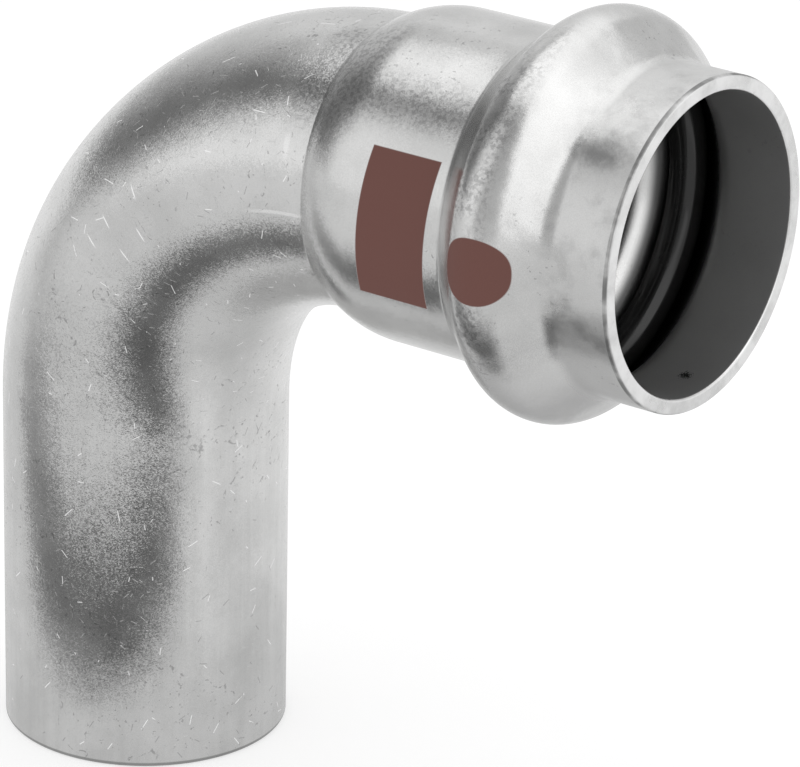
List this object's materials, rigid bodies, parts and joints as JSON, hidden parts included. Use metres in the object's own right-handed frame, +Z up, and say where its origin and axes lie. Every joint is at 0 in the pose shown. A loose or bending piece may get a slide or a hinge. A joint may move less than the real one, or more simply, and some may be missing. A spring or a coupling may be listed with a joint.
{
  "type": "press elbow pipe fitting",
  "caption": "Quarter-bend steel pipe elbow with a plain end and a press socket, whose formed bead holds a rubber ring that seals an inserted pipe.",
  "frame": {"origin": "centre of the plain end's face", "axes": "+Z up the plain end's axis into the bend, +X along the socket's axis and out of its mouth, Y across the bend's plane of symmetry"},
  "size_m": [0.0614, 0.0304, 0.0658],
  "materials": {
    "steel": "satin pickled steel with fine scratches and a plain brown printed mark",
    "seal_rubber": "smooth moulded black rubber with a thin film of grease"
  },
  "bodies": {
    "root": {"elbow_body": "steel", "sealing_ring": "seal_rubber"}
  },
  "joints": []
}
